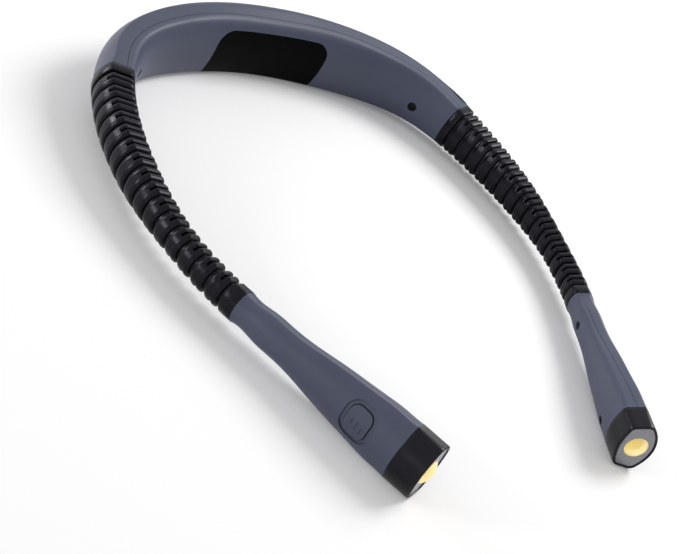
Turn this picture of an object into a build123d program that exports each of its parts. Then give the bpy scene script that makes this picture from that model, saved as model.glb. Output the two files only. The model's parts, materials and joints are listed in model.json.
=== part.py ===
from build123d import *

import os
from math import asin, cos, degrees, radians, sin, sqrt

# A neck reading light, in millimetres: a rigid collar behind the neck, two bendable arms and two
# lamp heads. It lies on a table on the collar's flat land and the two heads. The heads point
# towards -Y, +X is the right as seen from them, and the origin is the middle of the land.

# The centreline, from the middle of the collar to the front of one head
back_arc = 53.0
back_turn = 25.0
corner_arc = 37.6
corner_turn = 45.4
arm_length = 103.4
arm_turn = 43.5
head_length = 71.0
bezel_length = 9.2

# Climb out of the collar's plane, so that the arms and heads lie on the wearer's chest
arm_pitch = 2.9
head_pitch = 4.8
pitch_ramp = 26.0

# Sections across the centreline: thickness from the neck outwards, and height
collar_thick = 16.4
collar_height = 30.4
flank_from_middle = 30.0
flank_thick = 15.6
flank_height = 29.2
shoulder_thick = 14.4
shoulder_height = 26.0
cuff_thick = 14.0
cuff_height = 19.6
arm_middle = 42.0
arm_thick = 11.6
arm_height = 15.0
arm_waist = 80.0
neck_thick = 9.2
neck_height = 10.5
grip_length = 18.0
grip_thick = 9.4
grip_height = 10.8
flare_length = 37.0
flare_thick = 10.9
flare_height = 15.2
face_thick = 12.8
face_height = 18.9

# Lean of the section: positive tips its top away from the neck
middle_lean = -6.0
shoulder_lean = 3.5
cuff_lean = 8.0
head_lean = -11.0

# The section's form, as shares of its half thickness and half height
keel_share = 0.30
edge_share = 0.72
seam_share = 0.38
face_seam_share = 0.10
facet_drop_share = 0.14
keel_round = 0.5
middle_keel_round = 3.2
edge_round = 2.2
neck_edge_round = 1.6
middle_edge_round = 3.4

# Shells
collar_wall = 1.9
head_wall = 1.2
seam_gap = 0.15
fit_gap = 0.15
seat_gap = 0.3
thread_gap = 0.05
land_depth = 0.35
foot_gap = 0.05
overrun = 5.0

# Pad
pad_width = 49.2
pad_top = 9.5
pad_corner = 6.0
pad_thick = 0.8

# Arms
cuff_length = 4.2
neck_cuff_length = 5.4
segment_count = 15
segments_in_sections = (3, 2, 3, 2, 3, 2)
groove_width = 0.9
groove_depth = 1.1
rib_edge = 0.3
split_width = 0.7
split_depth = 1.2
spine_radius = 2.0
bore_gap = 0.3
link_gap = 0.3
spigot_radius = 3.4
spigot_length = 6.0
neck_spigot_radius = 3.0
neck_spigot_length = 4.2
anchor_radius = 4.6
anchor_thick = 1.4
spine_tail = 2.0
link_end_radius = 0.6
link_taper = 1.4
split_over_keel = 1.3
split_from_edge = 0.9

# Screws and the bosses that they join
collar_screw_at = 73.0
collar_screw_height = -2.4
collar_screw_depth = 3.6
collar_boss_meet = -0.6
collar_head_radius = 1.75
collar_head_thick = 1.3
collar_shank_radius = 1.0
collar_shank_length = 7.6
rear_screw_from_neck = 13.0
front_screw_back = 7.2
front_screw_height = -5.0
lamp_screw_depth = 2.4
lamp_boss_meet = -0.4
lamp_head_radius = 1.35
lamp_head_thick = 1.0
lamp_shank_radius = 0.75
lamp_shank_length = 4.6
boss_wall = 0.8

# Button and its switch
button_back = 13.6
button_length = 7.6
button_height = 9.0
button_corner = 2.6
button_gap = 0.25
button_travel = 0.3
moat_width = 1.2
moat_depth = 0.45
lip_width = 0.55
lip_thick = 0.6
lip_gap = 0.1
stem_radius = 1.1
stem_gap = 0.35
switch_side = 4.6
switch_thick = 1.3
plunger_radius = 0.9
plunger_rise = 0.3
board_thick = 1.0
switch_board_x = -1.6
switch_board_length = 9.6
switch_board_height = 6.0
post_radius = 1.2
post_inset = 2.2

# Lamp
bezel_wall = 0.7
spigot_step = 1.0
lens_rim = 0.8
lens_gap = 0.1
lens_thick = 1.5
lens_recess = 0.3
dome_radius = 3.9
dome_rise = 1.6
collector_radius = 2.7
lamp_board_back = 6.2
lamp_side = 3.6
lamp_thick = 0.9

# Battery, charging board and port
cell_length = 40.0
cell_height = 19.0
cell_thick = 5.8
cell_inset = 1.9
cell_corner = 1.2
foam_length = 26.0
foam_height = 12.0
foam_thick = 2.8
port_at = 50.0
port_x = -0.3
port_width = 8.9
port_thick = 3.2
port_corner = 1.5
port_length = 7.2
port_inset = 0.5
port_wall = 0.35
port_back = 1.4
tongue_width = 6.0
tongue_thick = 0.7
tongue_length = 4.6
charge_board_length = 17.0
charge_board_height = 13.0
charge_board_lift = 3.0
guide_radius = 0.7
guide_x = -0.4
guide_from_port = 7.2
guide_length = 4.6
lead_radius = 0.55
lead_pitch = 4.0
lead_height = -2.0

# Places along the centreline
cuff_at = back_arc + corner_arc
neck_at = cuff_at + arm_length
tip_at = neck_at + head_length
bezel_at = tip_at - bezel_length
runs = (
    (back_arc, back_turn),
    (corner_arc, corner_turn),
    (arm_length, arm_turn),
    (head_length, 0),
)
climbs = (
    (cuff_at, 0),
    (pitch_ramp, arm_pitch),
    (arm_length - pitch_ramp * 2, 0),
    (pitch_ramp, head_pitch - arm_pitch),
    (head_length, 0),
)

# Each row: place, half thickness, half height, lean, rounding of the keel and of the neck edge
sections = (
    (0, collar_thick / 2, collar_height / 2, middle_lean, middle_keel_round, middle_edge_round),
    (flank_from_middle, flank_thick / 2, flank_height / 2, 0, middle_keel_round, middle_edge_round),
    (back_arc, shoulder_thick / 2, shoulder_height / 2, shoulder_lean, keel_round, edge_round),
    (cuff_at, cuff_thick / 2, cuff_height / 2, cuff_lean, keel_round, edge_round),
    (cuff_at + arm_middle, arm_thick / 2, arm_height / 2, 0, keel_round, edge_round),
    (cuff_at + arm_waist, neck_thick / 2, neck_height / 2, head_lean, keel_round, neck_edge_round),
    (neck_at, neck_thick / 2, neck_height / 2, head_lean, keel_round, neck_edge_round),
    (neck_at + grip_length, grip_thick / 2, grip_height / 2, head_lean, keel_round, neck_edge_round),
    (neck_at + flare_length, flare_thick / 2, flare_height / 2, head_lean, keel_round, edge_round),
    (bezel_at, face_thick / 2, face_height / 2, head_lean, keel_round, edge_round),
    (tip_at, face_thick / 2, face_height / 2, head_lean, keel_round, edge_round),
)


def slope_at(row, column):
    """How fast a column of the table changes at a row: level at both ends and at each turn."""
    if row in (0, len(sections) - 1):
        return 0.0
    before, here, after = sections[row - 1 : row + 2]
    near = (here[column] - before[column]) / (here[0] - before[0])
    far = (after[column] - here[column]) / (after[0] - here[0])
    return 0.0 if near * far <= 0 else near * far / ((near + far) / 2)


def section_at(place):
    """Half thickness, half height, lean and the two roundings at a place on the centreline."""
    place = min(abs(place), sections[-1][0])
    row = max(index for index, near in enumerate(sections[:-1]) if near[0] <= place)
    near, far = sections[row : row + 2]
    run = far[0] - near[0]
    share = (place - near[0]) / run
    eased_share = share**2 * (3 - share * 2)
    values = []
    for column in range(1, len(near)):
        leave = slope_at(row, column) * run * share * (1 - share) ** 2
        arrive = slope_at(row + 1, column) * run * share**2 * (1 - share)
        values.append(near[column] + (far[column] - near[column]) * eased_share + leave - arrive)
    return values


def walk(place):
    """The flat centreline's point and heading, in degrees, at a place from the collar's middle."""
    x = y = heading = 0.0
    left = abs(place)
    for length, turn in runs:
        run = min(left, length)
        left -= run
        swing = turn * run / length
        middle = radians(heading + swing / 2)
        half = radians(swing / 2)
        chord = run if swing == 0 else run * sin(half) / half
        x += chord * cos(middle)
        y -= chord * sin(middle)
        heading += swing
    side = -1 if place < 0 else 1
    return side * x, y, side * heading


def climb(place):
    """The centreline's height over the collar's plane, and its pitch in degrees, at a place."""
    height = pitch_here = 0.0
    left = abs(place)
    for length, turn in climbs:
        run = min(left, length)
        left -= run
        swing = turn * run / length
        height += run * sin(radians(pitch_here + swing / 2))
        pitch_here += swing
    return height, pitch_here


def outline(place, inset=0.0, rounded=True):
    """The closed section: a bowed outer side, two facets and a bowed neck side."""
    half_thick, half_height, _, keel, edge = section_at(place)
    thick = half_thick - inset
    height = half_height - inset
    low = height * (1 - facet_drop_share)
    keel_x = thick * keel_share
    edge_x = -thick * edge_share
    with BuildSketch() as drawn:
        with BuildLine():
            ThreePointArc((keel_x, -height), (thick, 0), (keel_x, height))
            Line((keel_x, height), (edge_x, low))
            ThreePointArc((edge_x, low), (-thick, 0), (edge_x, -low))
            Line((edge_x, -low), (keel_x, -height))
        make_face()
        if rounded:
            fillet(drawn.vertices().group_by(Axis.X)[-1], keel)
            fillet(drawn.vertices().group_by(Axis.X)[0], edge)
    return drawn.sketch


def lowest(place, tilt):
    """Where the leaned section is lowest when the centreline is tipped: outward, and below."""
    turn = tilt * cos(radians(walk(place)[2]))
    with BuildSketch() as leaned:
        add(outline(place), rotation=turn - section_at(place)[2])
    bottom = leaned.vertices().sort_by(Axis.Y)[0]
    return bottom.X, -leaned.sketch.bounding_box().min.Y


def spread(start, end, count):
    """Places evenly spaced from start to end."""
    return [start + (end - start) * index / count for index in range(count + 1)]


# The whole curve is tipped forwards until the heads' undersides reach the table
rest_tilt = 0.0
for _ in range(4):
    land_out, middle_depth = lowest(0, rest_tilt)
    middle_height = middle_depth - land_depth
    tilts = []
    for place in spread(neck_at + flare_length, tip_at, 10):
        drop = middle_height - lowest(place, rest_tilt)[1] - foot_gap + climb(place)[0]
        tilts.append(degrees(asin(drop / -walk(place)[1])))
    rest_tilt = min(tilts)
ground = Plane(
    origin=(0, -land_out, middle_height),
    x_dir=(1, 0, 0),
    z_dir=(0, -sin(radians(rest_tilt)), cos(radians(rest_tilt))),
)


def station(place):
    """The plane across the centreline: x away from the neck, y up, z along it to the right."""
    x, y, heading = walk(place)
    height, pitch_here = climb(place)
    turn = radians(heading)
    rise = radians(-pitch_here if place < 0 else pitch_here)
    lean = radians(section_at(place)[2])
    outward = ground.x_dir * sin(turn) + ground.y_dir * cos(turn)
    flat = ground.x_dir * cos(turn) - ground.y_dir * sin(turn)
    along = flat * cos(rise) + ground.z_dir * sin(rise)
    upward = ground.z_dir * cos(rise) - flat * sin(rise)
    x_dir = outward * cos(lean) - upward * sin(lean)
    return Plane(origin=ground.from_local_coords((x, y, height)), x_dir=x_dir, z_dir=along)


def body_between(places, inset=0.0, ruled=False, rounded=True):
    """The solid inside the outline, along the centreline."""
    with BuildPart() as body:
        for place in places:
            with BuildSketch(station(place)):
                add(outline(place, inset, rounded))
        loft(ruled=ruled)
    return body.part


def neck_side(places, margin=0.0):
    """The region on the neck side of the seam, which nears the heads' middle at the bezels."""
    with BuildPart() as region:
        for place in places:
            half_thick, half_height = section_at(place)[:2]
            head_share = max(0, abs(place) - neck_at) / (bezel_at - neck_at)
            side_share = seam_share + (face_seam_share - seam_share) * head_share
            seam_x = -half_thick * side_share + margin
            far_x = -half_thick - overrun
            with BuildSketch(station(place)):
                with Locations(((seam_x + far_x) / 2, 0)):
                    Rectangle(seam_x - far_x, half_height * 2 + overrun * 2)
        loft()
    return region.part


def across(place, height=0.0, x=0.0):
    """The plane that faces away from the neck, with its x along the centreline and its y up."""
    here = station(place)
    return Plane(origin=here.from_local_coords((x, height, 0)), x_dir=-here.z_dir, z_dir=here.x_dir)


def downward(place, x, height):
    """The plane that faces down, with its x along the centreline."""
    here = station(place)
    return Plane(origin=here.from_local_coords((x, height, 0)), x_dir=here.z_dir, z_dir=-here.y_dir)


def bow_x(place, inset, height):
    """How far out the outer side's bow lies at a height."""
    half_thick, half_height = section_at(place)[:2]
    thick = half_thick - inset
    tall = half_height - inset
    rise = thick * (1 - keel_share)
    radius = (rise**2 + tall**2) / (2 * rise)
    return thick - radius + sqrt(radius**2 - height**2)


def facet_y(place, x):
    """How far the facet lies from the centreline at x."""
    half_thick, half_height = section_at(place)[:2]
    keel_x = half_thick * keel_share
    slope = half_height * facet_drop_share / (keel_x + half_thick * edge_share)
    return half_height - (keel_x - x) * slope


def peg(plane, radius, start, end):
    """A round pin along the plane's normal, between two heights over the plane."""
    with BuildPart() as pin:
        with BuildSketch(plane.offset(start)):
            Circle(radius)
        extrude(amount=end - start)
    return pin.part


pieces = {}


def keep(label, part):
    part.label = label
    pieces[label] = part


def keep_pair(label, part):
    """Keeps a right-hand piece and its mirror image on the left."""
    keep("right_" + label, part)
    with BuildPart() as other:
        mirror(part, about=Plane.YZ)
    keep("left_" + label, other.part)


# The collar's envelope, its hollow and the side of its seam
collar_places = spread(-cuff_at, cuff_at, 12)
cavity_end = cuff_at - collar_wall
collar_body = body_between(collar_places)
collar_cavity = body_between(spread(-cavity_end, cavity_end, 12), collar_wall, rounded=False)
pad_floor = body_between(collar_places, pad_thick)
seam_end = cuff_at + overrun
collar_inside = neck_side(spread(-seam_end, seam_end, 12))
collar_inside_wide = neck_side(spread(-seam_end, seam_end, 12), seam_gap)


def spigot_holes():
    """The holes in both end walls for the sleeves' spigots."""
    with BuildPart() as holes:
        for side in (-1, 1):
            with BuildSketch(station(side * cuff_at)):
                Circle(spigot_radius + fit_gap)
            extrude(amount=collar_wall * 2, both=True)
    return holes.part


def pad_prism(margin=0.0):
    """The pad's outline, pushed out from the collar's middle towards the neck."""
    drop = collar_height / 2 + overrun
    with BuildPart() as prism:
        with BuildSketch(across(0)):
            with Locations((0, (pad_top - drop) / 2)):
                RectangleRounded(pad_width + margin * 2, pad_top + drop + margin * 2, pad_corner)
        extrude(amount=-collar_thick)
    return prism.part


def collar_screw_plane(side):
    return across(side * collar_screw_at, collar_screw_height)


table = Box(collar_height * 9, collar_height * 9, overrun, align=(Align.CENTER, Align.CENTER, Align.MAX))
holes = spigot_holes()
prism = pad_prism()
prism_wide = pad_prism(fit_gap)
screw_half_thick = section_at(collar_screw_at)[0]
seat_x = -screw_half_thick + collar_screw_depth
boss_radius = collar_head_radius + fit_gap + boss_wall
port_floor = facet_y(port_at, port_x)
guide_at = port_at + guide_from_port
guide_floor = facet_y(guide_at, guide_x)

# The pad's pocket is the prism outside the pad's floor
with BuildPart() as pad_pocket:
    add(prism_wide)
    add(pad_floor, mode=Mode.SUBTRACT)

# Outer shell: wraps the back, with the bosses for the screws, the port and the light guide
with BuildPart() as collar_outer_shell:
    add(collar_body)
    add(collar_cavity, mode=Mode.SUBTRACT)
    add(collar_inside_wide, mode=Mode.SUBTRACT)
    add(holes, mode=Mode.SUBTRACT)
    add(table, mode=Mode.SUBTRACT)
    for side in (-1, 1):
        axis = collar_screw_plane(side)
        end_x = screw_half_thick - collar_wall / 2
        add(peg(axis, boss_radius, collar_boss_meet, end_x))
        pilot = collar_shank_radius + thread_gap
        add(peg(axis, pilot, collar_boss_meet, seat_x + collar_shank_length + fit_gap), mode=Mode.SUBTRACT)
    with BuildSketch(downward(port_at, port_x, -port_floor)):
        RectangleRounded(port_width + fit_gap * 2, port_thick + fit_gap * 2, port_corner + fit_gap)
    extrude(amount=collar_wall * 1.5, both=True, mode=Mode.SUBTRACT)
    guide_axis = downward(guide_at, guide_x, -guide_floor)
    add(peg(guide_axis, guide_radius + thread_gap, -collar_wall * 1.5, collar_wall), mode=Mode.SUBTRACT)
keep("collar_outer_shell", collar_outer_shell.part)

# Inner shell: the neck side, with the pad's pocket and two deep screw recesses
with BuildPart() as collar_inner_shell:
    add(collar_body)
    add(collar_cavity, mode=Mode.SUBTRACT)
    add(collar_inside, mode=Mode.INTERSECT)
    add(pad_pocket.part, mode=Mode.SUBTRACT)
    add(holes, mode=Mode.SUBTRACT)
    add(table, mode=Mode.SUBTRACT)
    for side in (-1, 1):
        axis = collar_screw_plane(side)
        add(peg(axis, boss_radius, -screw_half_thick + collar_wall / 2, collar_boss_meet))
        recess = collar_head_radius + fit_gap
        add(peg(axis, recess, -screw_half_thick - overrun, seat_x), mode=Mode.SUBTRACT)
        clear = collar_shank_radius + fit_gap
        add(peg(axis, clear, seat_x, collar_boss_meet), mode=Mode.SUBTRACT)
keep("collar_inner_shell", collar_inner_shell.part)

# Pad: a skin of the neck side
with BuildPart() as neck_pad:
    add(collar_body)
    add(pad_floor, mode=Mode.SUBTRACT)
    add(prism, mode=Mode.INTERSECT)
    add(collar_inside, mode=Mode.INTERSECT)
    add(table, mode=Mode.SUBTRACT)
keep("neck_pad", neck_pad.part)

# Two screws from the neck side
with BuildPart() as collar_screws:
    for side in (-1, 1):
        axis = collar_screw_plane(side)
        add(peg(axis, collar_head_radius, seat_x - collar_head_thick, seat_x))
        add(peg(axis, collar_shank_radius, seat_x, seat_x + collar_shank_length))
keep("collar_screws", collar_screws.part)

# Cell in the middle of the hollow, with a foam pad between it and the outer shell
cell_x = -(collar_thick / 2 - collar_wall - cell_inset)
with BuildPart() as battery_cell:
    with BuildSketch(across(0).offset(cell_x)):
        RectangleRounded(cell_length, cell_height, cell_corner)
    extrude(amount=cell_thick)
keep("battery_cell", battery_cell.part)

with BuildPart() as battery_foam:
    with BuildSketch(across(0).offset(cell_x + cell_thick)):
        Rectangle(foam_length, foam_height)
    extrude(amount=foam_thick)
keep("battery_foam", battery_foam.part)

# Socket: a drawn metal shell with a closed back and a tongue, open downwards through the facet
port_mouth = downward(port_at, port_x, -port_floor + port_inset)
with BuildPart() as usb_c_socket:
    with BuildSketch(port_mouth):
        RectangleRounded(port_width, port_thick, port_corner)
    extrude(amount=-port_length)
    with BuildSketch(port_mouth):
        RectangleRounded(port_width - port_wall * 2, port_thick - port_wall * 2, port_corner - port_wall)
    extrude(amount=-(port_length - port_back), mode=Mode.SUBTRACT)
    with BuildSketch(port_mouth.offset(-(port_length - port_back))):
        Rectangle(tongue_width, tongue_thick)
    extrude(amount=tongue_length)
keep("usb_c_socket", usb_c_socket.part)

# Charging board against the socket's back, and the light guide beside it
board_x = port_x - port_thick / 2 - board_thick
board_y = -port_floor + charge_board_lift + charge_board_height / 2
with BuildPart() as charge_board:
    with BuildSketch(across(port_at, board_y, board_x)):
        Rectangle(charge_board_length, charge_board_height)
    extrude(amount=board_thick)
keep("charge_board", charge_board.part)

with BuildPart() as charge_indicator:
    add(peg(guide_axis, guide_radius, -guide_length, 0))
keep("charge_indicator", charge_indicator.part)

# Leads from the cell's end to the board's edge
cell_end = across(0).from_local_coords((-cell_length / 2, lead_height, cell_x + cell_thick / 2))
board_end = across(port_at).from_local_coords((charge_board_length / 2, lead_height, board_x + board_thick / 2))
lead_run = board_end - cell_end
with BuildPart() as battery_leads:
    for side in (-1, 1):
        lead_start = cell_end + station(0).y_dir * (side * lead_pitch / 2)
        axis = Plane(origin=lead_start, z_dir=lead_run)
        add(peg(axis, lead_radius, seat_gap, lead_run.length - seat_gap))
keep("battery_leads", battery_leads.part)

# Arms: the ribs start at the first groove, and each section bends at its middle
rib_start = cuff_at + cuff_length
pitch = (arm_length - cuff_length - neck_cuff_length) / segment_count
section_ends = [sum(segments_in_sections[:index]) for index in range(len(segments_in_sections) + 1)]


def groove_at(index):
    return rib_start + pitch * index


pivots = [groove_at((near + far) / 2) for near, far in zip(section_ends, section_ends[1:])]


def ribbed(near, far):
    """The sleeve's outside between two grooves, with a plain cuff where the ribs end."""
    half_groove = groove_width / 2
    rings = [(groove_at(near), groove_depth)]
    if near == 0:
        cuff_edge = groove_at(near) - half_groove
        rings = [(cuff_at, 0), (cuff_edge - rib_edge, 0), (cuff_edge, groove_depth)]
    for index in range(near, far):
        start = groove_at(index) + half_groove
        end = groove_at(index + 1) - half_groove
        rings += [(start, groove_depth), (start + rib_edge, 0), (end - rib_edge, 0), (end, groove_depth)]
    if far == segment_count:
        cuff_edge = groove_at(far) + half_groove
        rings += [(cuff_edge, groove_depth), (cuff_edge + rib_edge, 0), (neck_at, 0)]
    else:
        rings += [(groove_at(far), groove_depth)]
    with BuildPart() as sleeve:
        for place, inset in rings:
            with BuildSketch(station(place)):
                add(outline(place, inset, rounded=False))
        loft(ruled=True)
    return sleeve.part


def splits(near, far):
    """The short grooves that split each segment's two facets and run over the keels."""
    with BuildPart() as cuts:
        for index in range(near, far):
            place = groove_at(index + 0.5)
            half_thick, half_height = section_at(place)[:2]
            start_x = -half_thick * edge_share + split_from_edge
            end_x = half_thick * keel_share + split_over_keel
            low = facet_y(place, start_x) - split_depth
            for side in (-1, 1):
                with BuildSketch(station(place)):
                    with Locations(((start_x + end_x) / 2, side * (low + half_height) / 2)):
                        Rectangle(end_x - start_x, half_height - low + split_depth)
                extrude(amount=split_width / 2, both=True)
    return cuts.part


# The round way for the spine runs straight from pivot to pivot
stops = [cuff_at - spigot_length - spine_tail] + pivots + [neck_at + neck_spigot_length + spine_tail]
with BuildPart() as spine_way:
    for place in stops:
        with BuildSketch(station(place)):
            Circle(spine_radius + bore_gap)
    loft(ruled=True)

# Sleeves: one for each section, with a flanged spigot in the collar and a plain one in the head
anchor_at = cuff_at - collar_wall
for index, (near, far) in enumerate(zip(section_ends, section_ends[1:])):
    with BuildPart() as arm_sleeve:
        add(ribbed(near, far))
        add(splits(near, far), mode=Mode.SUBTRACT)
        if near == 0:
            add(peg(station(cuff_at), spigot_radius, -spigot_length, 0))
            add(peg(station(anchor_at), anchor_radius, -anchor_thick, 0))
        if far == segment_count:
            add(peg(station(neck_at), neck_spigot_radius, 0, neck_spigot_length))
        add(spine_way.part, mode=Mode.SUBTRACT)
    keep_pair(f"arm_sleeve_{index + 1}", arm_sleeve.part)

# Spine: a stiff wire in links that meet at the pivots, with their ends turned down
for index, (near, far) in enumerate(zip(stops, stops[1:])):
    start = station(near).origin
    end = station(far).origin
    run = end - start
    axis = Plane(origin=start, z_dir=run)
    with BuildPart() as spine_link:
        with BuildSketch(Plane(origin=start, x_dir=axis.x_dir, z_dir=-axis.y_dir)):
            with BuildLine():
                Polyline(
                    (0, link_gap / 2),
                    (link_end_radius, link_gap / 2),
                    (spine_radius, link_gap / 2 + link_taper),
                    (spine_radius, run.length - link_gap / 2 - link_taper),
                    (link_end_radius, run.length - link_gap / 2),
                    (0, run.length - link_gap / 2),
                    close=True,
                )
            make_face()
        revolve(axis=Axis(start, run))
    keep_pair(f"spine_link_{index}", spine_link.part)

# Head envelope, its core under a skin, hollow and seam
head_places = [neck_at] + spread(neck_at + grip_length / 2, bezel_at, 8)
head_body = body_between(head_places)
head_core = body_between(head_places, moat_depth)
head_cavity = body_between([neck_at + head_wall] + head_places[1:], head_wall, rounded=False)
head_inside = neck_side([neck_at - overrun, neck_at] + head_places[1:] + [tip_at])
head_inside_wide = neck_side([neck_at - overrun, neck_at] + head_places[1:] + [tip_at], seam_gap)
neck_hole = peg(station(neck_at), neck_spigot_radius + fit_gap, -overrun, head_wall + overrun)
button_at = bezel_at - button_back
screw_spots = ((neck_at + rear_screw_from_neck, 0), (bezel_at - front_screw_back, front_screw_height))
lamp_boss_radius = lamp_head_radius + fit_gap + boss_wall


def screw_bosses(side):
    """The bosses of one shell, from where the shells' bosses meet to inside the wall."""
    with BuildPart() as bosses:
        for place, height in screw_spots:
            start, end = sorted((lamp_boss_meet, side * section_at(place)[0]))
            add(peg(across(place, height), lamp_boss_radius, start, end))
        add(head_core, mode=Mode.INTERSECT)
    return bosses.part


def button_prism(margin, start, end):
    """The button's rounded outline with a margin, between two distances from the centreline."""
    with BuildPart() as prism:
        with BuildSketch(across(button_at).offset(start)):
            RectangleRounded(button_length + margin * 2, button_height + margin * 2, button_corner + margin)
        extrude(amount=end - start)
    return prism.part


# The moat is a ring round the button, cut down from the outer face to a set depth
button_half_thick = section_at(button_at)[0]
with BuildPart() as moat:
    add(button_prism(button_gap + moat_width, 0, button_half_thick + overrun))
    add(head_core, mode=Mode.SUBTRACT)

# Head outer shell: button hole in its moat, and the screws' bosses
with BuildPart() as head_outer_shell:
    add(head_body)
    add(head_cavity, mode=Mode.SUBTRACT)
    add(head_inside_wide, mode=Mode.SUBTRACT)
    add(neck_hole, mode=Mode.SUBTRACT)
    add(moat.part, mode=Mode.SUBTRACT)
    add(button_prism(button_gap, 0, button_half_thick + overrun), mode=Mode.SUBTRACT)
    add(screw_bosses(1))
    for place, height in screw_spots:
        lamp_seat = -section_at(place)[0] + lamp_screw_depth
        pilot = lamp_shank_radius + thread_gap
        pilot_end = lamp_seat + lamp_shank_length + fit_gap
        add(peg(across(place, height), pilot, lamp_boss_meet, pilot_end), mode=Mode.SUBTRACT)
keep_pair("head_outer_shell", head_outer_shell.part)

# Head inner shell: two screw recesses, and posts under the switch board
with BuildPart() as head_inner_shell:
    add(head_body)
    add(head_cavity, mode=Mode.SUBTRACT)
    add(head_inside, mode=Mode.INTERSECT)
    add(neck_hole, mode=Mode.SUBTRACT)
    add(screw_bosses(-1))
    for place, height in screw_spots:
        axis = across(place, height)
        half_thick = section_at(place)[0]
        lamp_seat = -half_thick + lamp_screw_depth
        add(peg(axis, lamp_head_radius + fit_gap, -half_thick - overrun, lamp_seat), mode=Mode.SUBTRACT)
        add(peg(axis, lamp_shank_radius + fit_gap, lamp_seat, lamp_boss_meet), mode=Mode.SUBTRACT)
    post_run = switch_board_length / 2 - post_inset
    for side in (-1, 1):
        place = button_at + side * post_run
        half_thick = section_at(place)[0]
        add(peg(across(place), post_radius, -half_thick + head_wall / 2, switch_board_x))
keep_pair("head_inner_shell", head_inner_shell.part)

with BuildPart() as head_screws:
    for place, height in screw_spots:
        axis = across(place, height)
        lamp_seat = -section_at(place)[0] + lamp_screw_depth
        add(peg(axis, lamp_head_radius, lamp_seat - lamp_head_thick, lamp_seat))
        add(peg(axis, lamp_shank_radius, lamp_seat, lamp_seat + lamp_shank_length))
keep_pair("head_screws", head_screws.part)

# Switch on its board, with the plunger under the button's stem
switch_base = switch_board_x + board_thick
plunger_top = switch_base + switch_thick + plunger_rise
with BuildPart() as switch_board:
    with BuildSketch(across(button_at).offset(switch_board_x)):
        Rectangle(switch_board_length, switch_board_height)
    extrude(amount=board_thick)
keep_pair("switch_board", switch_board.part)

with BuildPart() as tactile_switch:
    with BuildSketch(across(button_at).offset(switch_base)):
        Rectangle(switch_side, switch_side)
    extrude(amount=switch_thick)
    add(peg(across(button_at), plunger_radius, switch_base + switch_thick, plunger_top))
keep_pair("tactile_switch", tactile_switch.part)

# Button: a cap flush with the outer face, a lip that keeps it in and a stem
lip_back = button_at - button_length / 2 - button_gap - lip_width
lip_edge = button_height / 2 + button_gap + lip_width
lip_top = bow_x(lip_back, head_wall, lip_edge) - lip_gap
with BuildPart() as button:
    add(button_prism(0, lip_top - lip_thick, button_half_thick + overrun))
    add(head_body, mode=Mode.INTERSECT)
    add(button_prism(button_gap + lip_width, lip_top - lip_thick, lip_top))
    add(peg(across(button_at), stem_radius, plunger_top + stem_gap, lip_top - lip_thick))
keep_pair("button", button.part)

# Bezel: a dark band with a spigot in the head's front and a step that seats the lens
bezel_inset = head_wall + fit_gap
hollow_inset = bezel_inset + bezel_wall
spigot_end = bezel_at - spigot_step
lens_front = tip_at - lens_recess
lens_back = lens_front - lens_thick
with BuildPart() as lamp_bezel:
    add(body_between([bezel_at, tip_at]))
    add(body_between([spigot_end, bezel_at], bezel_inset))
    add(body_between([spigot_end, tip_at], hollow_inset, rounded=False), mode=Mode.SUBTRACT)
    add(body_between([lens_back, tip_at], lens_rim), mode=Mode.SUBTRACT)
keep_pair("lamp_bezel", lamp_bezel.part)

# Lamp on its board, across the bezel's hollow
board_front = tip_at - lamp_board_back
with BuildPart() as lamp_board:
    add(body_between([board_front - board_thick, board_front], hollow_inset + fit_gap, rounded=False))
keep_pair("lamp_board", lamp_board.part)

with BuildPart() as lamp:
    with BuildSketch(station(board_front)):
        Rectangle(lamp_side, lamp_side)
    extrude(amount=lamp_thick)
keep_pair("lamp", lamp.part)

# Lens: a plate with a dome in front and a collector behind, close to the lamp
dome_ball = (dome_radius**2 + dome_rise**2) / (2 * dome_rise)
with BuildPart() as lens:
    with BuildSketch(Plane(origin=station(lens_front).origin, x_dir=station(tip_at).x_dir, z_dir=-station(tip_at).y_dir)):
        with BuildLine():
            cap_middle = sqrt(dome_ball**2 - (dome_radius / 2) ** 2) - dome_ball + dome_rise
            Line((0, 0), (dome_radius, 0))
            ThreePointArc((dome_radius, 0), (dome_radius / 2, cap_middle), (0, dome_rise))
            Line((0, dome_rise), (0, 0))
        make_face()
    revolve(axis=Axis(station(lens_front).origin, station(tip_at).z_dir))
    add(body_between([lens_back, lens_front], lens_rim + lens_gap))
    add(peg(station(board_front), collector_radius, lamp_thick + seat_gap, lamp_board_back - lens_recess - lens_thick / 2))
keep_pair("lens", lens.part)

for label, part in pieces.items():
    os.makedirs("parts", exist_ok=True)
    export_step(part, f"parts/{label}.step")
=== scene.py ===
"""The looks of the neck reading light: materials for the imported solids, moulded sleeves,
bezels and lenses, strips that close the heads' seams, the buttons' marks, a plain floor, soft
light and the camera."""

import json
from math import cos, pi, radians, sin

import bpy
import numpy as np
from mathutils import Matrix, Vector


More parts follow.
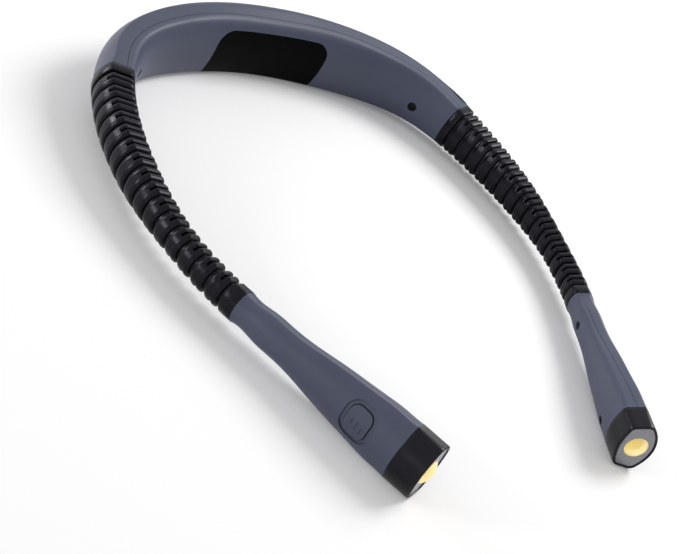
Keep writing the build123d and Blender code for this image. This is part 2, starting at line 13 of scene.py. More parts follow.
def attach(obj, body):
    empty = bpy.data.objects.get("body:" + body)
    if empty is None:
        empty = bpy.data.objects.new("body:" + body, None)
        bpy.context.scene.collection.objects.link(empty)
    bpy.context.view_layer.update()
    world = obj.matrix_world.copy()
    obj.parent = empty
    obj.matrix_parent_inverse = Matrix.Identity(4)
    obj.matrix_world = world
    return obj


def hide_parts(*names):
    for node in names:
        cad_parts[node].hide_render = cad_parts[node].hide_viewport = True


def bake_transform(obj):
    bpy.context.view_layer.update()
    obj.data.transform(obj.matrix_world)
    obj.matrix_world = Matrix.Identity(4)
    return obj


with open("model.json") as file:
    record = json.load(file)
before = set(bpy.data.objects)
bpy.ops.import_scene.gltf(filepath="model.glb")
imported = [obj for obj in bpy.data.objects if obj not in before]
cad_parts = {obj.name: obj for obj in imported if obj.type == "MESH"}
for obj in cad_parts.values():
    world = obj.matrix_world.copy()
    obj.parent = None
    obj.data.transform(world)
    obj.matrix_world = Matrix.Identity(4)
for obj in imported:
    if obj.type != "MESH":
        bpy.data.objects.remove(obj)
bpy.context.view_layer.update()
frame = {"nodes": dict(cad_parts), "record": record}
nodes = frame["nodes"]
SIDES = (("left", -1), ("right", 1))
MM = 0.001

# ------------------------------------------------ the centreline, in mm, as in the part's source
ARM = 103.4
HEAD = 71.0
CUFF_AT = 90.6
NECK_AT = CUFF_AT + ARM
TIP_AT = NECK_AT + HEAD
BEZEL_AT = TIP_AT - 9.2
# Length of each run and the degrees that it turns, and the same for its climb
RUNS = ((53.0, 25.0), (37.6, 45.4), (ARM, 43.5), (HEAD, 0.0))
RAMP = 26.0
CLIMBS = ((CUFF_AT, 0.0), (RAMP, 2.9), (ARM - 2 * RAMP, 0.0), (RAMP, 1.9), (HEAD, 0.0))
# Place, half thickness, half height, lean, rounding of the keel and of the neck edge
SECTIONS = (
    (0, 8.2, 15.2, -6.0, 3.2, 3.4),
    (30.0, 7.8, 14.6, 0.0, 3.2, 3.4),
    (53.0, 7.2, 13.0, 3.5, 0.5, 2.2),
    (CUFF_AT, 7.0, 9.8, 8.0, 0.5, 2.2),
    (CUFF_AT + 42.0, 5.8, 7.5, 0.0, 0.5, 2.2),
    (CUFF_AT + 80.0, 4.6, 5.25, -11.0, 0.5, 1.6),
    (NECK_AT, 4.6, 5.25, -11.0, 0.5, 1.6),
    (NECK_AT + 18.0, 4.7, 5.4, -11.0, 0.5, 1.6),
    (NECK_AT + 37.0, 5.45, 7.6, -11.0, 0.5, 2.2),
    (BEZEL_AT, 6.4, 9.45, -11.0, 0.5, 2.2),
    (TIP_AT, 6.4, 9.45, -11.0, 0.5, 2.2),
)
# Shares of the half thickness at which the keels and the neck edges lie, and the share of the half
# height by which the facets drop between them
KEEL, EDGE, DROP = 0.30, 0.72, 0.14
# The whole light is tipped forwards until its heads rest on the table
REST_TILT = radians(4.430431390953168)
ORIGIN = np.array([0.0, -3.11504, 14.0225])
GX = np.array([1.0, 0.0, 0.0])
GY = np.array([0.0, cos(REST_TILT), sin(REST_TILT)])
GZ = np.array([0.0, -sin(REST_TILT), cos(REST_TILT)])


def slope_at(row, column):
    """The slope of a column of the sections at a row, level at both ends and where it turns."""
    if row in (0, len(SECTIONS) - 1):
        return 0.0
    before, here, after = SECTIONS[row - 1 : row + 2]
    near = (here[column] - before[column]) / (here[0] - before[0])
    far = (after[column] - here[column]) / (after[0] - here[0])
    return 0.0 if near * far <= 0 else near * far / ((near + far) / 2)


def section_at(place):
    """Half thickness, half height, lean and the two roundings at a place."""
    place = min(abs(place), SECTIONS[-1][0])
    row = max(i for i, near in enumerate(SECTIONS[:-1]) if near[0] <= place)
    near, far = SECTIONS[row : row + 2]
    run = far[0] - near[0]
    t = (place - near[0]) / run
    out = []
    for c in range(1, 6):
        ease = near[c] + (far[c] - near[c]) * t * t * (3 - 2 * t)
        leaving = slope_at(row, c) * run * t * (1 - t) ** 2
        arriving = slope_at(row + 1, c) * run * t * t * (1 - t)
        out.append(ease + leaving - arriving)
    return out


def station(place):
    """Origin and the outward, upward and along directions of the right side's section."""
    x = y = heading = 0.0
    left = place
    for length, turn in RUNS:
        run = min(left, length)
        left -= run
        swing = radians(turn) * run / length
        chord = run if swing == 0 else run * sin(swing / 2) / (swing / 2)
        x += chord * cos(heading + swing / 2)
        y -= chord * sin(heading + swing / 2)
        heading += swing
    height = pitch = 0.0
    left = place
    for length, turn in CLIMBS:
        run = min(left, length)
        left -= run
        swing = radians(turn) * run / length
        height += run * sin(pitch + swing / 2)
        pitch += swing
    lean = radians(section_at(place)[2])
    outward = GX * sin(heading) + GY * cos(heading)
    flat = GX * cos(heading) - GY * sin(heading)
    along = flat * cos(pitch) + GZ * sin(pitch)
    up = GZ * cos(pitch) - flat * sin(pitch)
    out = outward * cos(lean) - up * sin(lean)
    return ORIGIN + GX * x + GY * y + GZ * height, out, np.cross(along, out), along


# ------------------------------------------------ outlines of the section
# Points on the outer bow, the neck side, each facet and each rounded corner
OUTER, INNER, FACET, CORNER = 16, 14, 18, 5
# Distances from both ends of the outer bow and of the neck side that always get a point, so that
# the splits end sharply there
NOTCH = (0.8, 1.9, 2.2)
HOOK = (0.45, 0.95, 1.2)
# Points on the fine arcs, and the point from an arc's end that gives its direction there
ARC, OUTER_AIM, INNER_AIM = 241, 5, 8
KEEL_SLACK = 0.999
LEAST_EDGE, EDGE_LOSS = 0.5, 0.5


def arc_through(p0, p1, p2, n):
    """n points on the arc from p0 over p1 to p2."""
    (x1, y1), (x2, y2), (x3, y3) = p0, p1, p2
    a = np.array([[x2 - x1, y2 - y1], [x3 - x1, y3 - y1]]) * 2
    b = np.array([x2 * x2 - x1 * x1 + y2 * y2 - y1 * y1, x3 * x3 - x1 * x1 + y3 * y3 - y1 * y1])
    c = np.linalg.solve(a, b)
    r = np.hypot(x1 - c[0], y1 - c[1])
    a0 = np.arctan2(y1 - c[1], x1 - c[0])
    a1 = np.arctan2(y3 - c[1], x3 - c[0])
    if x2 < x1:
        a0, a1 = a0 % (2 * pi), a1 % (2 * pi)
    t = np.linspace(a0, a1, n)
    return np.stack([c[0] + r * np.cos(t), c[1] + r * np.sin(t)], 1)


def fillet(before, corner, after, radius):
    """The points of a rounded corner, from the directions of its two neighbours."""
    a, b = before - corner, after - corner
    a, b = a / np.linalg.norm(a), b / np.linalg.norm(b)
    half = np.arccos(np.clip(a @ b, -1, 1)) / 2
    middle = (a + b) / np.linalg.norm(a + b)
    centre = corner + middle * radius / sin(half)
    start = corner + a * radius / np.tan(half) - centre
    end = corner + b * radius / np.tan(half) - centre
    t = np.linspace(0, 1, CORNER)[:, None]
    mixed = start * (1 - t) + end * t
    return centre + mixed / np.linalg.norm(mixed, axis=1)[:, None] * radius


def between(arc, start, end, n, close):
    """n points along an arc between two of its points, some at set distances from both ends."""
    i = np.argmin(np.hypot(*(arc - start).T))
    j = np.argmin(np.hypot(*(arc - end).T))
    run = np.concatenate([[0.0], np.cumsum(np.hypot(*np.diff(arc[i : j + 1], axis=0).T))])
    middle = np.linspace(close[-1], run[-1] - close[-1], n - 2 * len(close) + 2)[1:-1]
    at = np.concatenate([close, middle, run[-1] - np.array(close[::-1])])
    return np.stack([np.interp(at, run, arc[i : j + 1, k]) for k in (0, 1)], 1)


def straight(start, end):
    """The points of a facet between two corners."""
    t = np.linspace(0, 1, FACET + 2)[1:-1, None]
    return start * (1 - t) + end * t


def outline(place, inset=0.0, keel=None):
    """The section's closed outline: outer bow, top facet, neck side and bottom facet."""
    thick, height, _, usual_keel, edge = section_at(place)
    keel = keel or usual_keel
    thick, height = thick - inset, height - inset
    low = height * (1 - DROP)
    kx, ex = thick * KEEL, -thick * EDGE
    keel, edge = keel * KEEL_SLACK, max(LEAST_EDGE, edge - inset * EDGE_LOSS)
    outer = arc_through((kx, -height), (thick, 0), (kx, height), ARC)
    inner = arc_through((ex, low), (-thick, 0), (ex, -low), ARC)
    top_keel, top_edge = np.array([kx, height]), np.array([ex, low])
    low_edge, low_keel = np.array([ex, -low]), np.array([kx, -height])
    corners = [
        fillet(outer[-1 - OUTER_AIM], top_keel, top_edge, keel),
        fillet(top_keel, top_edge, inner[INNER_AIM], edge),
        fillet(inner[-1 - INNER_AIM], low_edge, low_keel, edge),
        fillet(low_edge, low_keel, outer[OUTER_AIM], keel),
    ]
    return np.vstack([
        between(outer, corners[3][-1], corners[0][0], OUTER, NOTCH), corners[0],
        straight(corners[0][-1], corners[1][0]), corners[1],
        between(inner, corners[1][-1], corners[2][0], INNER, HOOK), corners[2],
        straight(corners[2][-1], corners[3][0]), corners[3],
    ])


def in_metres(points, side):
    """Points of the right side in metres, mirrored for the left."""
    return points * MM * np.array([side, 1, 1])


def place_points(place, points, side, lift=0.0):
    """Section points in metres, in the row frame, lifted along the centreline."""
    o, x, y, z = station(place)
    return in_metres(o + points[:, :1] * x + points[:, 1:] * y + z * lift, side)


def directions(like):
    """Unit vectors that point the same way as an outline's points."""
    turn = np.arctan2(like[:, 1], like[:, 0])
    return np.stack([np.cos(turn), np.sin(turn)], 1)


# ------------------------------------------------ meshes
def add_mesh(name, verts, faces, facing, material, smooth):
    """An object from points and faces, which are all turned round where facing is negative."""
    if facing < 0:
        faces = [face[::-1] for face in faces]
    mesh = bpy.data.meshes.new(name)
    mesh.from_pydata([tuple(v) for v in verts], [], faces)
    mesh.validate()
    mesh.update()
    obj = bpy.data.objects.new(name, mesh)
    bpy.context.scene.collection.objects.link(obj)
    for p in mesh.polygons:
        p.use_smooth = True
    mesh.set_sharp_from_angle(angle=radians(smooth))
    mesh.materials.append(material)
    return obj


def ring_faces(n, count, joins):
    """Faces between rings of n points each, for a number of joins from each ring to the next."""
    faces = []
    for i in range(joins):
        a, b = i * n, ((i + 1) % count) * n
        for k in range(n):
            m = (k + 1) % n
            faces.append((a + k, a + m, b + m, b + k))
    return faces


def ring_mesh(name, rows, side, material, smooth):
    """A closed solid from rings of equal length, the last joined to the first."""
    faces = ring_faces(len(rows[0]), len(rows), len(rows))
    return add_mesh(name, np.vstack(rows), faces, side, material, smooth)


# ------------------------------------------------ materials
NOISE_LOW, NOISE_HIGH = 0.3, 0.7
BUMP_HEIGHT = 0.0002
FROST = 0.06


def set_inputs(target, **values):
    """Sets sockets by name, with an underscore for each blank."""
    for key, value in values.items():
        target.inputs[key.replace("_", " ")].default_value = value


def node(tree_nodes, kind, x, y, **settings):
    """A new node with some of its properties set."""
    n = tree_nodes.new(kind)
    n.location = (x, y)
    for key, value in settings.items():
        setattr(n, key, value)
    return n


def new_material(name, color, roughness, **values):
    """A material, its nodes and links, and its shader."""
    mat = bpy.data.materials.new(name)
    mat.use_nodes = True
    shader = mat.node_tree.nodes["Principled BSDF"]
    set_inputs(shader, Base_Color=(*color, 1), Roughness=roughness, **values)
    return mat, mat.node_tree.nodes, mat.node_tree.links, shader


def texture(ns, ln, coord, kind, y, **values):
    """A texture in the object's own coordinates."""
    tex = node(ns, kind, -900, y)
    set_inputs(tex, **values)
    ln.new(coord.outputs["Object"], tex.inputs["Vector"])
    return tex


def two_colors(ns, ln, value, dark, light):
    """A colour between two, each given with its position."""
    ramp = node(ns, "ShaderNodeValToRGB", -650, 200)
    for element, (position, color) in zip(ramp.color_ramp.elements, (dark, light)):
        element.position = position
        element.color = (*color, 1)
    ln.new(value, ramp.inputs["Fac"])
    return ramp.outputs["Color"]


def map_range(ns, ln, value, low, high, start=0.0, end=1.0):
    """A value moved from the range start to end into the range low to high."""
    span = node(ns, "ShaderNodeMapRange", -650, -100)
    set_inputs(span, From_Min=start, From_Max=end, To_Min=low, To_Max=high)
    ln.new(value, span.inputs["Value"])
    return span.outputs["Result"]


def add_bump(ns, ln, height, strength, shader):
    """Fine relief from a texture."""
    bump = node(ns, "ShaderNodeBump", -350, -400)
    set_inputs(bump, Strength=strength, Distance=BUMP_HEIGHT)
    ln.new(height, bump.inputs["Height"])
    ln.new(bump.outputs["Normal"], shader.inputs["Normal"])


def moulded(name, dark, light, roughness, grain, grain_depth, mottle, spread=0.05, **values):
    """A moulded surface: colour that drifts a little, fine grain, and rub marks in its gloss."""
    mat, ns, ln, shader = new_material(name, light, roughness, **values)
    coord = node(ns, "ShaderNodeTexCoord", -1200, 0)
    noise = "ShaderNodeTexNoise"
    cloud = texture(ns, ln, coord, noise, 200, Scale=mottle, Detail=5.0)
    color = two_colors(ns, ln, cloud.outputs["Fac"], (NOISE_LOW, dark), (NOISE_HIGH, light))
    ln.new(color, shader.inputs["Base Color"])
    rub = texture(ns, ln, coord, noise, -100, Scale=mottle * 4, Detail=6.0, Roughness=0.65)
    dull, bright = roughness - spread, roughness + spread
    gloss = map_range(ns, ln, rub.outputs["Fac"], dull, bright, NOISE_LOW, NOISE_HIGH)
    ln.new(gloss, shader.inputs["Roughness"])
    fine = texture(ns, ln, coord, noise, -400, Scale=grain, Detail=3.0)
    add_bump(ns, ln, fine.outputs["Fac"], grain_depth, shader)
    return mat


def lens_material(name, color, transmission, roughness, **values):
    """Moulded plastic, clear or milky, with a faint frost."""
    values.update(Transmission_Weight=transmission, IOR=1.49)
    mat, ns, ln, shader = new_material(name, color, roughness, **values)
    coord = node(ns, "ShaderNodeTexCoord", -1200, 0)
    haze = texture(ns, ln, coord, "ShaderNodeTexNoise", 0, Scale=420.0, Detail=4.0)
    gloss = map_range(ns, ln, haze.outputs["Fac"], roughness - FROST, roughness + FROST)
    ln.new(gloss, shader.inputs["Roughness"])
    add_bump(ns, ln, haze.outputs["Fac"], 0.05, shader)
    return mat


def lamp_material():
    """A lit diode: yellow phosphor that glows unevenly."""
    mat, ns, ln, shader = new_material("lit_diode", (0.90, 0.62, 0.10), 0.5, Emission_Strength=5.0)
    coord = node(ns, "ShaderNodeTexCoord", -1200, 0)
    fleck = texture(ns, ln, coord, "ShaderNodeTexVoronoi", 0, Scale=1500.0)
    deep, pale = (0.0, (1.0, 0.72, 0.22)), (1.0, (1.0, 0.84, 0.40))
    glow = two_colors(ns, ln, fleck.outputs["Distance"], deep, pale)
    ln.new(glow, shader.inputs["Emission Color"])
    return mat


# Slot, name, darker and lighter colour, roughness, the grain's scale and depth, the mottle's
# scale, and what else differs
MOULDINGS = (
    ("shell", "slate_shell", (0.063, 0.071, 0.113), (0.073, 0.082, 0.128), 0.42,
     1400.0, 0.05, 28.0, dict(spread=0.03, Specular_IOR_Level=0.30)),
    ("button", "slate_button", (0.058, 0.066, 0.105), (0.066, 0.075, 0.118), 0.42,
     1600.0, 0.05, 60.0, dict(spread=0.03, Specular_IOR_Level=0.30)),
    ("sleeve", "black_sleeve", (0.0030, 0.0030, 0.0046), (0.0056, 0.0056, 0.0080), 0.25,
     1100.0, 0.10, 60.0,
     dict(spread=0.06, Specular_IOR_Level=0.16, Specular_Tint=(0.86, 0.87, 1.0, 1))),
    ("pad", "black_pad", (0.0010, 0.0010, 0.0013), (0.0018, 0.0018, 0.0022), 0.45,
     900.0, 0.14, 45.0, dict(Specular_IOR_Level=0.03)),
    ("bezel", "black_bezel", (0.0036, 0.0036, 0.0054), (0.0054, 0.0054, 0.0078), 0.26,
     1500.0, 0.05, 50.0, dict(Specular_IOR_Level=0.20, Specular_Tint=(0.88, 0.88, 1.0, 1))),
    ("screw", "black_screw", (0.004, 0.004, 0.005), (0.009, 0.009, 0.010), 0.42,
     2500.0, 0.2, 300.0, dict(Metallic=0.3, Specular_IOR_Level=0.2)),
    ("spine", "drawn_wire", (0.32, 0.33, 0.34), (0.42, 0.43, 0.44), 0.30,
     2500.0, 0.2, 200.0, dict(Metallic=1.0)),
    ("steel", "socket_steel", (0.52, 0.52, 0.53), (0.62, 0.62, 0.63), 0.28,
     2500.0, 0.1, 200.0, dict(Metallic=1.0)),
    ("board", "green_board", (0.010, 0.060, 0.022), (0.016, 0.085, 0.032), 0.42,
     1200.0, 0.1, 150.0, {}),
    ("switch", "black_switch", (0.012, 0.012, 0.013), (0.020, 0.020, 0.022), 0.35,
     1500.0, 0.1, 200.0, {}),
    ("cell", "cell_foil", (0.50, 0.50, 0.51), (0.62, 0.62, 0.63), 0.34,
     500.0, 0.3, 60.0, dict(Metallic=0.9)),
    ("foam", "grey_foam", (0.030, 0.030, 0.032), (0.055, 0.055, 0.058), 0.85,
     700.0, 0.8, 200.0, {}),
    ("lead", "red_lead", (0.26, 0.012, 0.010), (0.34, 0.018, 0.014), 0.45,
     900.0, 0.1, 150.0, {}),
    ("mark", "dark_mark", (0.016, 0.019, 0.030), (0.024, 0.028, 0.042), 0.55,
     1600.0, 0.05, 200.0, {}),
)
M = {slot: moulded(*row, **more) for slot, *row, more in MOULDINGS}
M["lens"] = lens_material(
    "clear_lens", (0.13, 0.135, 0.165), 0.12, 0.24, Specular_IOR_Level=0.25
)
# The dome's emission is a painted glow: it stands in for the lamp's light scattered in the milky
# dome, which is no lamp itself
M["dome"] = lens_material(
    "milky_dome_painted_glow", (0.84, 0.68, 0.24), 0.20, 0.22,
    Specular_IOR_Level=0.4, Emission_Color=(1.0, 0.68, 0.14, 1), Emission_Strength=0.34,
)
M["lamp"] = lamp_material()

slot_of = {row["node"]: row["material_slot"] for row in frame["record"]["subparts"]}
for name, obj in nodes.items():
    obj.data.materials.clear()
    obj.data.materials.append(M[slot_of[name]])

# ------------------------------------------------ sleeves
CUFF, NECK_CUFF, SEGMENTS = 4.2, 5.4, 15
RIB_START = CUFF_AT + CUFF
PITCH = (ARM - CUFF - NECK_CUFF) / SEGMENTS
# The segments at which the sections of a sleeve meet
ENDS = (0, 3, 5, 8, 10, 13, SEGMENTS)
GROOVE, GROOVE_DEPTH = 0.9, 1.1
SPLIT, SPLIT_DEPTH = 0.7, 1.2
BORE, BORE_RINGS = 2.3, 7
# Radius and length of the spigots, and the flange that holds the sleeve in the collar's end wall
SPIGOT, SPIGOT_LENGTH = 3.4, 6.0
NECK_SPIGOT, NECK_SPIGOT_LENGTH = 3.0, 4.2
FLANGE, FLANGE_THICK, COLLAR_WALL = 4.6, 1.4, 1.9
# The softened edge of a cuff's end, and one more ring along each cuff
END_BREAK, END_RUN = 0.06, 0.08
CUFF_RING, NECK_CUFF_RING = 1.5, 3.0
# Distance from a groove or split and the share of its depth that is left there
RIB_STEPS = (
    (0.0, 1.0), (0.05, 0.80), (0.12, 0.58), (0.26, 0.40),
    (0.48, 0.25), (0.78, 0.13), (1.12, 0.05), (1.50, 0.0),
)
CUFF_STEPS = ((0.0, 1.0), (0.05, 0.80), (0.10, 0.35), (0.18, 0.16), (0.30, 0.06), (0.50, 0.0))
SPLIT_STEPS = ((-0.05, 1.0), (0.02, 0.55), (0.10, 0.28), (0.24, 0.13), (0.45, 0.04), (0.75, 0.0))
# Points by which a split reaches past its corners
SPLIT_OVER = 2


def split_window():
    """The split's share at each point of the outline: both facets and a little over their edges."""
    w = np.zeros(OUTER + INNER + 2 * FACET + 4 * CORNER)
    inner = OUTER + CORNER + FACET + CORNER
    w[OUTER - SPLIT_OVER : inner + SPLIT_OVER] = 1.0
    w[inner + INNER - SPLIT_OVER :] = 1.0
    w[:SPLIT_OVER] = 1.0
    return w


WINDOW = split_window()


def shoulder(place, sign, steps, split=False):
    """The wall of a groove or a split and its rounded shoulder; sign 1 climbs along the arm."""
    rows = []
    for run, share in steps:
        rows.append((place + sign * run, 0.0 if split else share, share if split else 0.0))
    return rows if sign > 0 else rows[::-1]


def rib_rings(near, far):
    """Place, groove share and split share of each ring along a section of a sleeve."""
    half = GROOVE / 2
    rings = []
    if near == 0:
        rings += [(CUFF_AT, END_BREAK, 0.0), (CUFF_AT + END_RUN, 0.0, 0.0)]
        rings += [(CUFF_AT + CUFF_RING, 0.0, 0.0)] + shoulder(RIB_START - half, -1, CUFF_STEPS)
    rings += [(RIB_START + PITCH * near, 1.0, 0.0)]
    for k in range(near, far):
        start, end = RIB_START + PITCH * k + half, RIB_START + PITCH * (k + 1) - half
        middle = (start + end) / 2
        rings += shoulder(start, 1, RIB_STEPS) + shoulder(middle - SPLIT / 2, -1, SPLIT_STEPS, True)
        rings += shoulder(middle + SPLIT / 2, 1, SPLIT_STEPS, True) + shoulder(end, -1, RIB_STEPS)
        if k + 1 < far:
            rings += [(end + half, 1.0, 0.0)]
    groove = RIB_START + PITCH * far
    rings += [(groove, 1.0, 0.0)]
    if far == SEGMENTS:
        rings += shoulder(groove + half, 1, CUFF_STEPS) + [(groove + NECK_CUFF_RING, 0.0, 0.0)]
        rings += [(NECK_AT - END_RUN, 0.0, 0.0), (NECK_AT, END_BREAK, 0.0)]
    return rings


def sleeve(side_name, side, index):
    """One section of a sleeve: ribs and splits outside, the spine's bore, a spigot at the ends."""
    near, far = ENDS[index : index + 2]
    rings = rib_rings(near, far)
    rows = []
    for place, groove, split in rings:
        full, deep = outline(place), outline(place, SPLIT_DEPTH)
        share = np.maximum(groove * GROOVE_DEPTH / SPLIT_DEPTH, split * WINDOW)[:, None]
        rows.append(place_points(place, full * (1 - share) + deep * share, side))
    first, last = rings[0][0], rings[-1][0]
    if far == SEGMENTS:
        spigot_end = last + NECK_SPIGOT_LENGTH
        circles = [(last, NECK_SPIGOT), (spigot_end, NECK_SPIGOT), (spigot_end, BORE)]
    else:
        circles = [(last, BORE)]
    circles += [(place, BORE) for place in np.linspace(last, first, BORE_RINGS)[1:-1]]
    if near == 0:
        spigot_end, flange = CUFF_AT - SPIGOT_LENGTH, CUFF_AT - COLLAR_WALL
        circles += [(spigot_end, BORE), (spigot_end, SPIGOT), (flange - FLANGE_THICK, SPIGOT)]
        circles += [(flange - FLANGE_THICK, FLANGE), (flange, FLANGE), (flange, SPIGOT)]
        circles += [(CUFF_AT, SPIGOT)]
    else:
        circles += [(first, BORE)]
    unit = directions(outline((first + last) / 2))
    rows += [place_points(place, unit * radius, side) for place, radius in circles]
    obj = ring_mesh(f"{side_name}_sleeve_{index + 1}", rows, side, M["sleeve"], smooth=50)
    start = in_metres(station(RIB_START + PITCH * near)[0], side)
    end = in_metres(station(RIB_START + PITCH * far)[0], side)
    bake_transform(obj)
    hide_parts(f"{side_name}_arm_sleeve_{index + 1}")


for side_name, side in SIDES:
    for index in range(len(ENDS) - 1):
        sleeve(side_name, side, index)

# ------------------------------------------------ bezels and lenses
BACK_KEEL, KEEL_GROWTH, KEEL_POWER = 0.6, 2.0, 0.8
# Insets of the lens's seat, of the hollow and of the spigot in the head, and the spigot's keel
SEAT_INSET, HOLLOW_INSET, SPIGOT_INSET = 0.78, 2.05, 1.35
INNER_KEEL = 1.5
BEZEL_SPIGOT = 1.0
# Distance from the band's back edge, or back from the tip, and the inset there
BACK_STEPS = (
    (0.0, 0.16), (0.06, 0.05), (0.2, 0.0), (1.5, 0.0),
    (3.0, 0.0), (4.5, 0.0), (6.0, 0.0), (7.5, 0.0),
)
RIM_STEPS = (
    (0.7, 0.0), (0.38, 0.04), (0.15, 0.14), (0.03, 0.28),
    (0.0, 0.42), (0.0, 0.60), (0.08, 0.72), (0.2, SEAT_INSET),
)
LENS_KEEL = 2.6
LENS_FRONT = TIP_AT - 0.3
LENS_BACK = LENS_FRONT - 1.5
# Insets of the plate, of the step in its front edge and of its back edge
PLATE_INSET, FRONT_INSET, BACK_INSET = 0.9, 0.93, 1.0
DOME_RADIUS, DOME_RISE = 3.9, 1.6
POLE = 0.02
DOME_RINGS = (POLE, 0.6, 1.2, 1.8, 2.4, 2.9, 3.3, 3.6, 3.8, DOME_RADIUS)
PLATE_SHARES = (0.04, 0.5, 0.9)
COLLECTOR, COLLECTOR_AT = 2.7, TIP_AT - 5.0


def keel_at(place):
    """The bezel's keels grow rounder from the head to the tip."""
    share = min(1.0, max(0.0, (place - BEZEL_AT) / (TIP_AT - BEZEL_AT)))
    return BACK_KEEL + KEEL_GROWTH * share**KEEL_POWER


def bezel(side_name, side):
    """The dark band: softened edges, a thin front rim, the lens's seat and the spigot."""
    spigot_end = BEZEL_AT - BEZEL_SPIGOT
    steps = [(BEZEL_AT + run, inset) for run, inset in BACK_STEPS]
    steps += [(TIP_AT - run, inset) for run, inset in RIM_STEPS]
    steps += [(LENS_BACK, SEAT_INSET), (LENS_BACK, HOLLOW_INSET), (spigot_end, HOLLOW_INSET)]
    steps += [(spigot_end, SPIGOT_INSET), (BEZEL_AT, SPIGOT_INSET)]
    rows = []
    for place, inset in steps:
        keel = keel_at(place) if inset < SPIGOT_INSET else INNER_KEEL
        rows.append(place_points(place, outline(place, inset, keel), side))
    obj = ring_mesh(f"{side_name}_bezel", rows, side, M["bezel"], smooth=40)
    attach(obj, f"{side_name}_head")
    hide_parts(f"{side_name}_lamp_bezel")


def lens(side_name, side):
    """A milky dome with a painted glow on a clear plate, and the collector behind it that ends
    before the lamp.
    """
    plate = outline(TIP_AT, PLATE_INSET, LENS_KEEL)
    unit = directions(plate)
    ball = (DOME_RADIUS**2 + DOME_RISE**2) / (2 * DOME_RISE)
    rows = []
    for r in DOME_RINGS:
        lift = np.sqrt(ball**2 - r * r) - ball + DOME_RISE
        rows.append(place_points(LENS_FRONT, unit * r, side, lift))
    for share in PLATE_SHARES:
        points = unit * DOME_RADIUS * (1 - share) + plate * share
        rows.append(place_points(LENS_FRONT, points, side))
    behind = (
        (LENS_FRONT - 0.03, outline(TIP_AT, FRONT_INSET, LENS_KEEL)),
        (LENS_FRONT - 0.12, plate),
        (LENS_BACK + 0.1, plate),
        (LENS_BACK, outline(TIP_AT, BACK_INSET, LENS_KEEL)),
        (LENS_BACK, unit * COLLECTOR),
        (COLLECTOR_AT, unit * COLLECTOR),
        (COLLECTOR_AT, unit * POLE),
    )
    rows += [place_points(place, points, side) for place, points in behind]
    obj = ring_mesh(f"{side_name}_lens_piece", rows, side, M["lens"], smooth=35)
    # The dome's faces get the material with the painted glow
    obj.data.materials.append(M["dome"])
    for p in obj.data.polygons[: (len(DOME_RINGS) - 1) * len(plate)]:
        p.material_index = 1
    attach(obj, f"{side_name}_head")
    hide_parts(f"{side_name}_lens")


for side_name, side in SIDES:
    bezel(side_name, side)
    lens(side_name, side)

# ------------------------------------------------ strips that close the heads' seams
# The seam's share of the half thickness at the neck, how much less it is at the bezel, and its gap
SEAM_SHARE, SEAM_NEARS, SEAM_GAP = 0.38, 0.28, 0.15
# How far a strip reaches into each shell, how deep it lies under the facet, and where it ends
TONGUE_REACH, TONGUE_TOP, TONGUE_FOOT = 0.4, 0.45, 0.95
TONGUE_END, TONGUE_RINGS = 0.4, 25


def seam_tongue(side_name, side, level, top):
    """The strip in the walls of a head that closes the seam between its two shells on one facet."""
    verts = []
    for place in np.linspace(NECK_AT + TONGUE_END, BEZEL_AT - TONGUE_END, TONGUE_RINGS):
        thick, height = section_at(place)[:2]
        seam = -thick * (SEAM_SHARE - SEAM_NEARS * (place - NECK_AT) / (BEZEL_AT - NECK_AT))
        x = np.array([seam - TONGUE_REACH, seam + SEAM_GAP + TONGUE_REACH])
        y = height - height * DROP / (thick * (KEEL + EDGE)) * (thick * KEEL - x)
        low, high = y - TONGUE_FOOT, y - TONGUE_TOP
        ring = np.array([(x[0], low[0]), (x[1], low[1]), (x[1], high[1]), (x[0], high[0])])
        verts += list(place_points(place, ring * np.array([1, top]), side))
    faces = ring_faces(4, TONGUE_RINGS, TONGUE_RINGS - 1)
    faces += [(3, 2, 1, 0), tuple(4 * TONGUE_RINGS - 4 + k for k in range(4))]
    name = f"{side_name}_seam_tongue_{level}"
    obj = add_mesh(name, verts, faces, side * top, M["shell"], smooth=40)
    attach(obj, f"{side_name}_head")


for side_name, side in SIDES:
    for level, top in (("top", 1), ("bottom", -1)):
        seam_tongue(side_name, side, level, top)

# ------------------------------------------------ the buttons' marks
BUTTON_AT = BEZEL_AT - 13.6
# Height of the middle, length and place along the button of each stroke
STROKES = ((-0.5, 2.0, -1.5), (-1.0, 2.8, 0.3), (-1.2, 2.0, 2.1))
STROKE_WIDTH, STROKE_PROUD, STROKE_SUNK = 0.5, 0.03, 0.12
RIM = 20


def bow_x(place, height):
    """How far the outer bow lies from the centreline at a height."""
    thick, tall = section_at(place)[:2]
    rise = thick * (1 - KEEL)
    radius = (rise**2 + tall**2) / (2 * rise)
    return thick - radius + np.sqrt(radius**2 - height**2)


def dash(name, side, middle, height, length):
    """A thin upright stroke with round ends that follows the button's bowed face."""

    def point(place, h, level):
        o, x, y, _ = station(place)
        return in_metres(o + x * (bow_x(place, h) + level) + y * h, side)

    rim = []
    for k in range(RIM):
        t = 2 * pi * k / RIM
        end = (length - STROKE_WIDTH) / 2 * (1 if cos(t) > 0 else -1)
        rim.append((end + STROKE_WIDTH / 2 * cos(t), STROKE_WIDTH / 2 * sin(t)))
    levels = (-STROKE_SUNK, STROKE_PROUD)
    verts = [point(middle + dy, height + dx, level) for level in levels for dx, dy in rim]
    verts += [point(middle, height, level) for level in levels]
    foot, top = 2 * RIM, 2 * RIM + 1
    faces = []
    for k in range(RIM):
        m = (k + 1) % RIM
        faces += [(k, m, RIM + m, RIM + k), (RIM + k, RIM + m, top), (m, k, foot)]
    return add_mesh(name, verts, faces, side, M["mark"], smooth=40)


for side_name, side in SIDES:
    for k, (height, length, shift) in enumerate(STROKES):
        mark = dash(f"{side_name}_button_dash_{k + 1}", side, BUTTON_AT + shift, height, length)
        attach(mark, f"{side_name}_button")


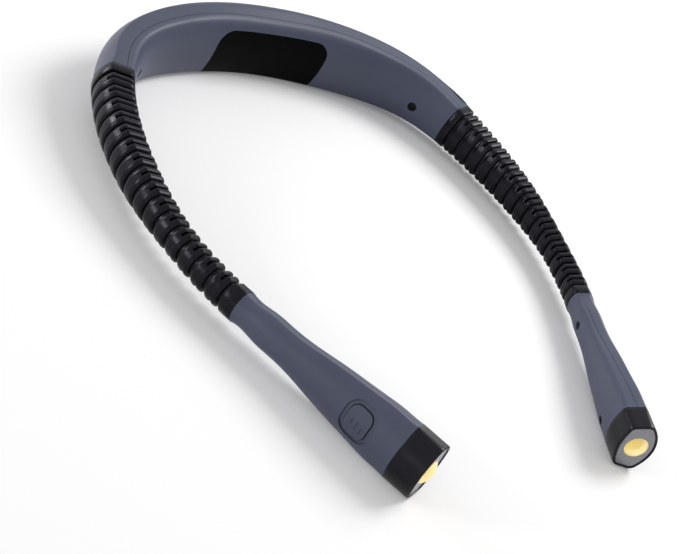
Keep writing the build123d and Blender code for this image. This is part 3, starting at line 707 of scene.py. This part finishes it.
# ------------------------------------------------ floor and world
def in_view(ns, ln):
    """1 on the rays that show a thing itself: to the camera, through glass and off gloss."""
    path = node(ns, "ShaderNodeLightPath", -700, 200)
    seen = node(ns, "ShaderNodeMath", -500, 200, operation="MAXIMUM")
    ln.new(path.outputs["Is Camera Ray"], seen.inputs[0])
    ln.new(path.outputs["Is Transmission Ray"], seen.inputs[1])
    mirrored = node(ns, "ShaderNodeMath", -350, 200, operation="MAXIMUM")
    ln.new(seen.outputs[0], mirrored.inputs[0])
    ln.new(path.outputs["Is Glossy Ray"], mirrored.inputs[1])
    return mirrored.outputs[0]


# In view the floor is lifted towards white, and more so the farther it lies from the object
GLOW_NEAR, GLOW_FAR = (0.3, 0.13), (1.8, 0.55)
bpy.ops.mesh.primitive_plane_add(size=8, location=(0, 0, -0.0002))
floor = bpy.context.object
floor.name = "floor"
mat, ns, ln, shader = new_material(
    "floor_white", (0.94, 0.94, 0.94), 0.9, Specular_IOR_Level=0.0, Emission_Color=(1, 1, 1, 1)
)
place = node(ns, "ShaderNodeTexCoord", -1100, -500)
away = node(ns, "ShaderNodeVectorMath", -900, -500, operation="LENGTH")
lift = node(ns, "ShaderNodeMath", -150, -200, operation="MULTIPLY")
ln.new(place.outputs["Object"], away.inputs[0])
glow = map_range(
    ns, ln, away.outputs["Value"], GLOW_NEAR[1], GLOW_FAR[1], GLOW_NEAR[0], GLOW_FAR[0]
)
ln.new(in_view(ns, ln), lift.inputs[0])
ln.new(glow, lift.inputs[1])
ln.new(lift.outputs[0], shader.inputs["Emission Strength"])
floor.data.materials.append(mat)

# The world is white where it is seen and lights the object at a lower, plain level
WORLD_LIGHT = 0.45
world = bpy.data.worlds.new("studio")
bpy.context.scene.world = world
world.use_nodes = True
ns, ln = world.node_tree.nodes, world.node_tree.links
background = ns["Background"]
background.inputs["Color"].default_value = (1, 1, 1, 1)
ln.new(map_range(ns, ln, in_view(ns, ln), WORLD_LIGHT, 1.0), background.inputs["Strength"])

# ------------------------------------------------ lamps and camera
MIDDLE = (0.0, -0.10, 0.01)
# Name, place, size and power
LAMPS = (
    ("key", (0.70, -0.06, 0.70), (0.46, 0.46), 6.7),
    ("rim", (-0.62, 0.74, 0.20), (0.24, 0.24), 2.4),
    ("side", (-0.93, 0.20, 0.27), (0.24, 0.26), 2.2),
    ("fill", (-0.80, -0.50, 0.14), (0.5, 0.2), 0.25),
)


def softbox(name, location, size, power):
    """A rectangular lamp that faces the middle of the light."""
    data = bpy.data.lights.new(name, "AREA")
    data.shape = "RECTANGLE"
    data.size, data.size_y = size
    data.energy = power
    lamp = bpy.data.objects.new(name, data)
    bpy.context.scene.collection.objects.link(lamp)
    lamp.location = location
    lamp.rotation_mode = "QUATERNION"
    lamp.rotation_quaternion = (Vector(location) - Vector(MIDDLE)).to_track_quat("Z", "Y")


for row in LAMPS:
    softbox(*row)

# The camera's axes, and its distance along each of them
RIGHT = Vector((0.7886714095, -0.4440410699, 0.4252351539))
UP = Vector((-0.0071241217, 0.6850006956, 0.7285075799))
BACK = Vector((-0.6147736614, -0.5775825268, 0.5370770615))
CAMERA_AT = RIGHT * 0.037752867 + UP * -0.082451469 + BACK * 0.488465822
camera_data = bpy.data.cameras.new("camera")
camera = bpy.data.objects.new("camera", camera_data)
bpy.context.scene.collection.objects.link(camera)
axes = Matrix((RIGHT, UP, BACK)).transposed().to_4x4()
camera.matrix_world = Matrix.Translation(CAMERA_AT) @ axes
camera_data.sensor_fit = "HORIZONTAL"
camera_data.sensor_width = 36.0
camera_data.lens = 66.3891
camera_data.clip_start, camera_data.clip_end = 0.01, 20.0
bpy.context.scene.camera = camera
bpy.context.scene.view_settings.view_transform = "Standard"
